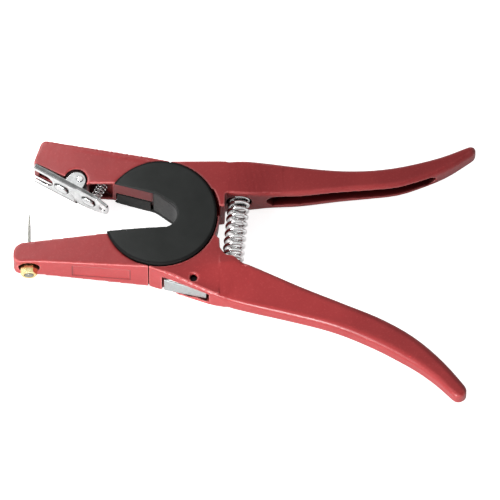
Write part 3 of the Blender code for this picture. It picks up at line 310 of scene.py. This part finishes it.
def bead_line(n):
    """Painted shade: dark lines round the clip plate's two beads and along its fold."""
    along, square, z = clip_axes(n)
    lines = None
    for start, end in (FRONT_BEAD, TAIL_BEAD):
        past = n.beyond(along, (start + end) / 2, (end - start) / 2 - BEAD_HALF)
        radius = n.distance(n.math("MAXIMUM", past, 0.0), z)
        ring = n.math("SUBTRACT", radius, n.math("MULTIPLY", z, BEAD_LEAN))
        line = n.step(n.beyond(ring, BEAD_RING, 0.0), BEAD_LINE, BEAD_LINE * 0.3)
        lines = n.math("MAXIMUM", lines, line) if lines else line
    fold = n.step(n.math("ABSOLUTE", z), CLIP_HALF - FOLD_LINE, CLIP_HALF - FOLD_LINE * 0.4)
    lines = n.math("MAXIMUM", lines, n.math("MULTIPLY", fold, 0.75))
    return n.math("MULTIPLY", lines, n.step(square, *CLIP_OUTSIDE))


def red_paint():
    """The arms' paint: speckled, with painted highlights on its edges and painted shade in hollows, slots and
    recesses.
    """
    n = Nodes("cast_red_paint")
    broad = n.ramp(n.noise(38.0, 4.0), [(0.32, srgb(146, 42, 44)), (0.68, srgb(158, 50, 51))])
    speckled = n.mix(n.grey(n.noise(900.0, 2.0), 0.0, 0.35, 0.56, 0.72), broad, srgb(178, 68, 69))
    # Painted shade: darker red in the concave corners, from the mesh's pointiness
    hollow_shaded = n.mix(n.hollows(), speckled, srgb(112, 24, 27))
    # Painted highlight: pale pink on the convex edges
    with_painted_light = n.mix(n.math("MULTIPLY", n.edges(0.512, 0.56), 0.55), hollow_shaded, srgb(240, 136, 134))
    with_painted_light = n.mix(panel_line(n), with_painted_light, srgb(92, 20, 24))
    # Painted shade: dark red inside the slots and pockets that the arm itself hides
    with_painted_light = n.mix(n.cavity(0.020, 0.40, 0.72, True), with_painted_light, srgb(62, 8, 11))
    with_painted_light = n.mix(arch_shade(n), with_painted_light, srgb(34, 4, 6))
    # Painted shade: near black in the narrow gaps against the other pieces
    with_painted_light = n.mix(n.cavity(0.0030, 0.34, 0.84), with_painted_light, srgb(22, 2, 3))
    peel = n.bump(n.noise(260.0), 0.20, 0.0004)
    grain = n.bump(n.noise(1500.0, 2.0), 0.16, 0.00012, peel)
    rough = n.grey(n.noise(420.0), 0.32, 0.40)
    return n.surface(Base_Color=with_painted_light, Roughness=rough, Normal=grain, Specular_IOR_Level=0.36)


def black_plastic():
    n = Nodes("moulded_black_plastic")
    base = n.ramp(n.noise(60.0), [(0.35, srgb(24, 26, 25)), (0.65, srgb(32, 34, 33))])
    # Painted highlight: lighter grey on the convex edges
    with_painted_light = n.mix(n.math("MULTIPLY", n.edges(), 0.6), base, srgb(62, 64, 63))
    grain = n.bump(n.noise(2200.0, 2.0), 0.22, 0.00010)
    return n.surface(Base_Color=with_painted_light, Roughness=n.grey(n.noise(500.0), 0.36, 0.46), Normal=grain)


def cover_plastic():
    """The covers' plastic, duller round the rim, with painted shade darkening it there."""
    n = Nodes("moulded_cover_plastic")
    base = n.ramp(n.noise(60.0), [(0.35, srgb(31, 33, 32)), (0.65, srgb(39, 41, 40))])
    offset = n.math("SUBTRACT", n.axis("X"), HUB[0]), n.math("SUBTRACT", n.axis("Y"), HUB[1])
    rim = n.step(n.distance(*offset), COVER_RADIUS - COVER_RIM[0], COVER_RADIUS - COVER_RIM[1])
    # Painted shade: near black round the rim
    shaded = n.mix(rim, base, srgb(10, 10, 10))
    grain = n.bump(n.noise(2200.0, 2.0), 0.22, 0.00010)
    rough = n.math("ADD", n.grey(n.noise(500.0), 0.42, 0.52), n.math("MULTIPLY", rim, 0.30))
    return n.surface(Base_Color=shaded, Roughness=rough, Normal=grain, Specular_IOR_Level=0.18)


def clip_chrome():
    """The clip's own duller chrome, with painted shade lining its beads and fold and darkening its gaps."""
    n = Nodes("lined_chrome")
    base = n.ramp(n.noise(260.0), [(0.35, (0.60, 0.62, 0.62, 1)), (0.65, (0.80, 0.82, 0.82, 1))])
    darkened = n.mix(n.grey(n.noise(700.0, 4.0), 0.0, 0.45, 0.56, 0.74), base, (0.42, 0.44, 0.43, 1))
    # Painted shade: dark lines round the beads and along the fold
    lined = n.mix(bead_line(n), darkened, PAINTED_SHADE)
    # Painted shade: dark in the gaps round the clip's pieces
    lined = n.mix(n.cavity(0.0016, 0.35, 0.72), lined, SHADE)
    ripple = n.bump(n.noise(500.0, 2.0), 0.10, 0.0001)
    rough = n.grey(n.noise(650.0), 0.12, 0.24)
    return n.surface(Base_Color=lined, Metallic=1.0, Roughness=rough, Normal=ripple)


def chrome():
    n = Nodes("bright_chrome")
    base = n.ramp(n.noise(300.0), [(0.35, (0.92, 0.93, 0.93, 1)), (0.65, (0.97, 0.98, 0.98, 1))])
    darkened = n.mix(n.grey(n.noise(700.0, 4.0), 0.0, 0.30, 0.60, 0.78), base, (0.74, 0.75, 0.74, 1))
    # Painted shade: dark between the spring's wires and in gaps, on top of the random stains
    darkened = n.mix(n.cavity(0.0034, 0.32, 0.64), darkened, SHADE)
    ripple = n.bump(n.noise(500.0, 2.0), 0.10, 0.0001)
    rough = n.grey(n.noise(650.0), 0.10, 0.22)
    return n.surface(Base_Color=darkened, Metallic=1.0, Roughness=rough, Normal=ripple)


def plain_steel(name, light, dark, rough):
    """Steel with fine streaks along X, and painted shade in its gaps."""
    n = Nodes(name)
    stretched = n.node("ShaderNodeMapping", {"Vector": n.place, "Scale": (0.15, 1.0, 1.0)}).outputs["Vector"]
    inputs = {"Vector": stretched, "Scale": 2600.0, "Detail": 3.0}
    streaks = n.node("ShaderNodeTexNoise", inputs).outputs["Fac"]
    base = n.ramp(streaks, [(0.3, dark), (0.7, light)])
    # Painted shade: dark in the gaps round the piece
    base = n.mix(n.cavity(0.0022, 0.35, 0.75), base, PAINTED_SHADE)
    scratch = n.bump(streaks, 0.15, 0.00006)
    rough = n.grey(n.noise(800.0), rough, rough + 0.12)
    return n.surface(Base_Color=base, Metallic=1.0, Roughness=rough, Normal=scratch)


def brass():
    n = Nodes("turned_brass")
    base = n.ramp(n.noise(420.0), [(0.35, (0.72, 0.60, 0.24, 1)), (0.65, (0.84, 0.74, 0.38, 1))])
    # Painted highlight: paler brass on the convex edges
    bright = n.mix(n.math("MULTIPLY", n.edges(), 0.7), base, (0.95, 0.80, 0.50, 1))
    marks = n.bump(n.noise(1600.0, 2.0), 0.12, 0.00006)
    rough = n.grey(n.noise(700.0), 0.18, 0.30)
    return n.surface(Base_Color=bright, Metallic=1.0, Roughness=rough, Normal=marks)


def finished(made, finish):
    """Gives a piece or a carried-over node its material alone."""
    made.data.materials.clear()
    made.data.materials.append(finish)
    return made


def dressed(made, finish, body, slot, *replaced):
    """Gives a new piece its material and body, and hides the nodes that it stands for. The slot is not used.
    """
    finished(made, finish)
    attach(made, body)
    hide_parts(*replaced)
    return made


def softened(node, name, voxel, rounds):
    """A copy of a CAD node with its hard facets and edges softened as casting or pressing leaves them."""
    made = bpy.data.objects.new(name, nodes[node].data.copy())
    bpy.context.scene.collection.objects.link(made)
    remesh = made.modifiers.new("remesh", "REMESH")
    remesh.mode = "VOXEL"
    remesh.voxel_size = voxel
    remesh.use_smooth_shade = True
    soft = made.modifiers.new("soft", "SMOOTH")
    soft.factor = SOFTENING
    soft.iterations = rounds
    graph = bpy.context.evaluated_depsgraph_get()
    mesh = bpy.data.meshes.new_from_object(made.evaluated_get(graph))
    made.modifiers.clear()
    made.data = mesh
    mesh.shade_smooth()
    return made


def swept(centres, outs, ups, wire, sides):
    """A round wire's mesh along points that each have two directions square to it."""
    build = bmesh.new()
    rows = []
    for centre, out, up in zip(centres, outs, ups):
        rows.append([
            build.verts.new(centre + out * (wire * math.cos(a)) + up * (wire * math.sin(a)))
            for a in np.linspace(0, 2 * math.pi, sides, endpoint=False)
        ])
    build.faces.new(rows[0][::-1])
    build.faces.new(rows[-1])
    for near, far in zip(rows, rows[1:]):
        for i in range(sides):
            j = (i + 1) % sides
            build.faces.new((near[i], near[j], far[j], far[i]))
    bmesh.ops.recalc_face_normals(build, faces=build.faces)
    return build


def coil(name, start, end, radius, wire, turns, steps=40, sides=14):
    """A compression spring between two points, with its end turns closed."""
    axis = (end - start).normalized()
    turn = Vector((0, 0, 1)).rotation_difference(axis).to_matrix()
    length = (end - start).length
    count = int(turns * steps)
    flat = COIL_FLAT / turns
    centres, outs = [], []
    for i in range(count + 1):
        t = i / count
        angle = 2 * math.pi * turns * t
        ramp = min(max((t - flat) / (1 - 2 * flat), 0), 1)
        eased = ramp * ramp * (3 - 2 * ramp)
        height = wire + (length - 2 * wire) * (eased * COIL_EASE + ramp * (1 - COIL_EASE))
        out = turn @ Vector((math.cos(angle), math.sin(angle), 0))
        centres.append(start + axis * height + out * radius)
        outs.append(out)
    build = swept(centres, outs, [axis] * len(outs), wire, sides)
    mesh = bpy.data.meshes.new(name)
    build.to_mesh(mesh)
    build.free()
    made = bpy.data.objects.new(name, mesh)
    bpy.context.scene.collection.objects.link(made)
    mesh.shade_smooth()
    return made


def mesh_arrays(mesh):
    """A mesh's points, its normals and the two ends of each edge."""
    places = np.empty(len(mesh.vertices) * 3, np.float32)
    normals = np.empty(len(mesh.vertices) * 3, np.float32)
    ends = np.empty(len(mesh.edges) * 2, np.int32)
    mesh.vertices.foreach_get("co", places)
    mesh.vertices.foreach_get("normal", normals)
    mesh.edges.foreach_get("vertices", ends)
    return places.reshape(-1, 3), normals.reshape(-1, 3), ends.reshape(-1, 2)


def moved_to(mesh, places):
    mesh.vertices.foreach_set("co", places.astype(np.float32).ravel())
    mesh.update()


def filled(made, seam, reach, rounds, outwards):
    """Smooths along the join of a grip and its root, moving only outwards to fill its groove if told to."""
    mesh = made.data
    places, normals, ends = mesh_arrays(mesh)
    count = len(places)
    start, end = np.array(seam[0]), np.array(seam[1])
    length = np.hypot(*(end - start))
    along = (end - start) / length
    offset = places[:, :2] - start
    away = abs(offset[:, 0] * along[1] - offset[:, 1] * along[0])
    beside = offset @ along
    near = (away < reach) & (beside > seam[2]) & (beside < length + seam[3])
    ends = ends[near[ends[:, 0]] | near[ends[:, 1]]]
    first, last = ends[:, 0], ends[:, 1]
    number = np.bincount(first, minlength=count) + np.bincount(last, minlength=count)
    weight = np.clip((1 - away[near] / reach) * 2, 0.0, 1.0) * SEAM_PULL
    outward = normals[near]
    moved = places.astype(float)
    for _ in range(rounds):
        total = np.stack([
            np.bincount(first, moved[last, i], count) + np.bincount(last, moved[first, i], count)
            for i in range(3)
        ], axis=1)
        shift = ((total[near] / number[near, None] - moved[near]) * outward).sum(axis=1)
        if outwards:
            shift = np.maximum(shift, 0.0)
        moved[near] += (weight * shift)[:, None] * outward
    moved_to(mesh, moved)


def levelled(made, first_x, last_x):
    """Evens out the heights of the flat faces between two places, as one casting has no seam there."""
    mesh = made.data
    places, normals, ends = mesh_arrays(mesh)
    count = len(places)
    near = (places[:, 0] > first_x) & (places[:, 0] < last_x) & (abs(normals[:, 2]) > LEVEL_FLATNESS)
    ends = ends[near[ends[:, 0]] & near[ends[:, 1]]]
    first, last = ends[:, 0], ends[:, 1]
    number = np.bincount(first, minlength=count) + np.bincount(last, minlength=count)
    moving = near & (number > 1)
    inset = np.minimum(places[:, 0] - first_x, last_x - places[:, 0]) / LEVEL_END
    weight = np.clip(inset, 0.0, 1.0)[moving] * LEVEL_PULL
    heights = places[:, 2].astype(float)
    for _ in range(LEVEL_ROUNDS):
        total = np.bincount(first, heights[last], count) + np.bincount(last, heights[first], count)
        heights[moving] += weight * (total[moving] / number[moving] - heights[moving])
    places[:, 2] = heights
    moved_to(mesh, places)


def beaded(made):
    """Presses the clip plate's two wide beads outwards from its face, and opens its fork."""
    mesh = made.data
    places, normals, _ = mesh_arrays(mesh)
    cos, sin = math.cos(CLIP_TILT), math.sin(CLIP_TILT)
    x, y, z = (places - np.array(CLIP_PIVOT, np.float32)).T
    along, square = x * cos + y * sin, y * cos - x * sin
    facing = normals[:, 1] * cos - normals[:, 0] * sin
    outer = (square < CLIP_FACE + CLIP_STEP_RISE + CLIP_FACE_SLACK) & (facing < CLIP_FACING)
    for (start, end), base in ((FRONT_BEAD, CLIP_FACE), (TAIL_BEAD, CLIP_FACE + CLIP_STEP_RISE)):
        past = np.maximum(abs(along - (start + end) / 2) - ((end - start) / 2 - BEAD_HALF), 0.0)
        rise = np.clip((BEAD_HALF - np.hypot(past, z)) / BEAD_SIDE, 0.0, 1.0)
        target = base - BEAD_HEIGHT * rise * rise * (3 - 2 * rise)
        square = np.where(outer & (rise > 0), np.minimum(target, square), square)
    depth = abs(z)
    spread = (CLIP_HALF - FORK_OPEN) / (CLIP_HALF - FORK_HALF)
    opened = np.where(
        depth < FORK_HALF, depth * FORK_OPEN / FORK_HALF, FORK_OPEN + (depth - FORK_HALF) * spread,
    )
    share = np.clip((FORK_END + FORK_START - along) / FORK_WAY, 0.0, 1.0)
    z = np.sign(z) * (depth + (opened - depth) * share)
    moved_to(mesh, np.stack([along * cos - square * sin, along * sin + square * cos, z], axis=1) + CLIP_PIVOT)
    return made


def make_camera():
    """The photograph's view: from the needle jaw's side, looking down at the tool."""
    right = (IMAGE_PIXELS / 2 - PLAN_PIXEL[0]) * METRES_PER_PIXEL
    up = (PLAN_PIXEL[1] - IMAGE_PIXELS / 2) * METRES_PER_PIXEL / math.sin(ELEVATION)
    target = PLAN + Vector((right, up, 0))
    data = bpy.data.cameras.new("camera")
    data.sensor_width = SENSOR_MM
    data.lens = SENSOR_MM * CAMERA_DISTANCE / (IMAGE_PIXELS * METRES_PER_PIXEL)
    camera = bpy.data.objects.new("camera", data)
    back = Vector((0, -math.cos(ELEVATION), math.sin(ELEVATION)))
    camera.location = target + back * CAMERA_DISTANCE
    camera.rotation_euler = (math.pi / 2 - ELEVATION, 0, 0)
    bpy.context.scene.collection.objects.link(camera)
    bpy.context.scene.camera = camera


def area_light(name, place, size, power):
    data = bpy.data.lights.new(name, "AREA")
    data.shape = "DISK"
    data.size = size
    data.energy = power
    light = bpy.data.objects.new(name, data)
    light.location = place
    target = PLAN + Vector(LIGHT_AIM)
    light.rotation_euler = (target - Vector(place)).to_track_quat("-Z", "Y").to_euler()
    bpy.context.scene.collection.objects.link(light)


def make_world():
    """Pale studio surroundings: white to the camera, banded in reflections, and a soft even light."""
    world = bpy.data.worlds.new("studio")
    bpy.context.scene.world = world
    world.use_nodes = True
    tree = world.node_tree
    tree.nodes.clear()
    path = tree.nodes.new("ShaderNodeLightPath")

    def background(strength):
        made = tree.nodes.new("ShaderNodeBackground")
        made.inputs["Color"].default_value = WHITE
        made.inputs["Strength"].default_value = strength
        return made

    def chosen(ray, otherwise, wanted):
        made = tree.nodes.new("ShaderNodeMixShader")
        tree.links.new(path.outputs[ray], made.inputs["Fac"])
        tree.links.new(otherwise.outputs[0], made.inputs[1])
        tree.links.new(wanted.outputs[0], made.inputs[2])
        return made

    place = tree.nodes.new("ShaderNodeTexCoord")
    axes = tree.nodes.new("ShaderNodeSeparateXYZ")
    tree.links.new(place.outputs["Generated"], axes.inputs[0])
    bands = tree.nodes.new("ShaderNodeValToRGB")
    tree.links.new(axes.outputs["Z"], bands.inputs["Fac"])
    set_stops(bands.color_ramp, [(position, (value, value, value, 1)) for position, value in WORLD_BANDS])
    banded = background(1.0)
    tree.links.new(bands.outputs["Color"], banded.inputs["Color"])
    unseen = chosen("Is Glossy Ray", background(WORLD_LIGHT), banded)
    seen = chosen("Is Camera Ray", unseen, background(1.0))
    output = tree.nodes.new("ShaderNodeOutputWorld")
    tree.links.new(seen.outputs[0], output.inputs["Surface"])


def make_floor():
    """A white floor that the object lies on, with its soft shadow kept."""
    mesh = bpy.data.meshes.new("floor")
    half = FLOOR_SIZE / 2
    corners = ((-half, -half), (half, -half), (half, half), (-half, half))
    build = bmesh.new()
    build.faces.new([build.verts.new((x, y, 0)) for x, y in corners])
    build.to_mesh(mesh)
    build.free()
    floor = bpy.data.objects.new("floor", mesh)
    floor.location.z = -FLOOR_DROP
    bpy.context.scene.collection.objects.link(floor)
    n = Nodes("white_floor")
    n.surface(Base_Color=n.grey(n.noise(4.0), 0.80, 0.82), Roughness=0.9, Specular_IOR_Level=0.0)
    path = n.node("ShaderNodeLightPath")
    seen = n.math("MAXIMUM", path.outputs["Is Camera Ray"], path.outputs["Is Transmission Ray"])
    mirrored = n.math("MULTIPLY", path.outputs["Is Glossy Ray"], FLOOR_MIRRORED)
    strength = n.math("ADD", n.math("MULTIPLY", seen, FLOOR_GLOW), mirrored)
    glow = n.node("ShaderNodeEmission", {"Color": WHITE, "Strength": strength})
    shown = n.node("ShaderNodeAddShader", {0: n.shader.outputs[0], 1: glow.outputs[0]})
    n.set_input(n.tree.nodes["Material Output"].inputs["Surface"], shown.outputs[0])
    mesh.materials.append(n.material)


def dress_arms():
    paint = red_paint()
    arms = (
        ("clip_arm", "clip_side", CLIP_ROOT, CLIP_SEAM),
        ("needle_arm", "needle_side", NEEDLE_ROOT, NEEDLE_SEAM),
    )
    for node, body, root, seam in arms:
        made = softened(node, node + "_casting", CAST_VOXEL, 5)
        filled(made, seam, *SEAM_FILL, True)
        filled(made, seam, *SEAM_BLEND, False)
        levelled(made, *root)
        dressed(made, paint, body, "red_paint", node)


def dress_hub():
    cover, wall = cover_plastic(), black_plastic()
    for node, plastic in (("front_cover", cover), ("back_cover", cover), ("hub_bush", wall)):
        made = softened(node, node + "_moulding", COVER_VOXEL, 3)
        dressed(made, plastic, "clip_side", "black_plastic", node)
    steel = plain_steel("screw_steel", (0.55, 0.56, 0.56, 1), (0.38, 0.39, 0.39, 1), 0.25)
    for i in (1, 2, 3):
        finished(nodes["cover_screw_%d" % i], steel)


def dress_clip(bright):
    plate = beaded(softened("clip_plate", "clip_pressing", SHEET_VOXEL, 2))
    dressed(plate, clip_chrome(), "clip", "chrome", "clip_plate")
    pin = softened("clip_pin", "clip_pin_turned", NUT_VOXEL, 2)
    dressed(pin, bright, "clip_side", "chrome", "clip_pin")


def dress_needle():
    steel = plain_steel("needle_steel", (0.34, 0.34, 0.31, 1), (0.20, 0.20, 0.18, 1), 0.24)
    needle = softened("needle", "needle_ground", NUT_VOXEL, 1)
    dressed(needle, steel, "needle_side", "steel", "needle")
    nut = softened("needle_nut", "needle_nut_turned", NUT_VOXEL, 2)
    dressed(nut, brass(), "needle_side", "brass", "needle_nut")


def dress_main_spring(bright):
    top = PLAN + Vector((*SPRING_TOP, 0))
    low = PLAN + Vector((*SPRING_LOW, 0))
    axis = (top - low).normalized()
    start = low - axis * SPRING_LOW_SINK
    end = top + axis * SPRING_TOP_SINK
    made = coil("main_spring_wire", start, end, SPRING_RADIUS, SPRING_WIRE, SPRING_TURNS)
    dressed(made, bright, "clip_side", "chrome", "main_spring")
    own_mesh(made)


def dress_clip_spring(bright):
    """The clip's spring, as long as the CAD node's box leaves room for."""
    up = Vector((-math.sin(CLIP_TILT), math.cos(CLIP_TILT), 0))
    low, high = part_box("clip_spring")
    centre = (low + high) / 2
    across = 2 * (CLIP_SPRING_RADIUS + CLIP_SPRING_WIRE) * abs(up.x)
    half = up * (high.y - low.y - across) / up.y / 2
    made = coil(
        "clip_spring_wire", centre - half, centre + half,
        CLIP_SPRING_RADIUS, CLIP_SPRING_WIRE, CLIP_SPRING_TURNS, 32, 10,
    )
    dressed(made, bright, "clip_side", "chrome", "clip_spring")
    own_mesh(made)


def dress_latch():
    steel = plain_steel("latch_steel", (0.60, 0.66, 0.66, 1), (0.38, 0.43, 0.43, 1), 0.28)
    plate = softened("latch_plate", "latch_plate_rolled", SHEET_VOXEL, 2)
    dressed(plate, steel, "clip_side", "steel", "latch_plate")
    dark = plain_steel("pin_steel", (0.05, 0.04, 0.04, 1), (0.02, 0.015, 0.015, 1), 0.45)
    finished(nodes["latch_pin"], dark)


bpy.context.scene.view_settings.view_transform = "Standard"
make_camera()
make_world()
for lamp in LIGHTS:
    area_light(*lamp)
make_floor()
dress_arms()
dress_hub()
bright_chrome = chrome()
dress_clip(bright_chrome)
dress_needle()
dress_main_spring(bright_chrome)
dress_clip_spring(bright_chrome)
dress_latch()
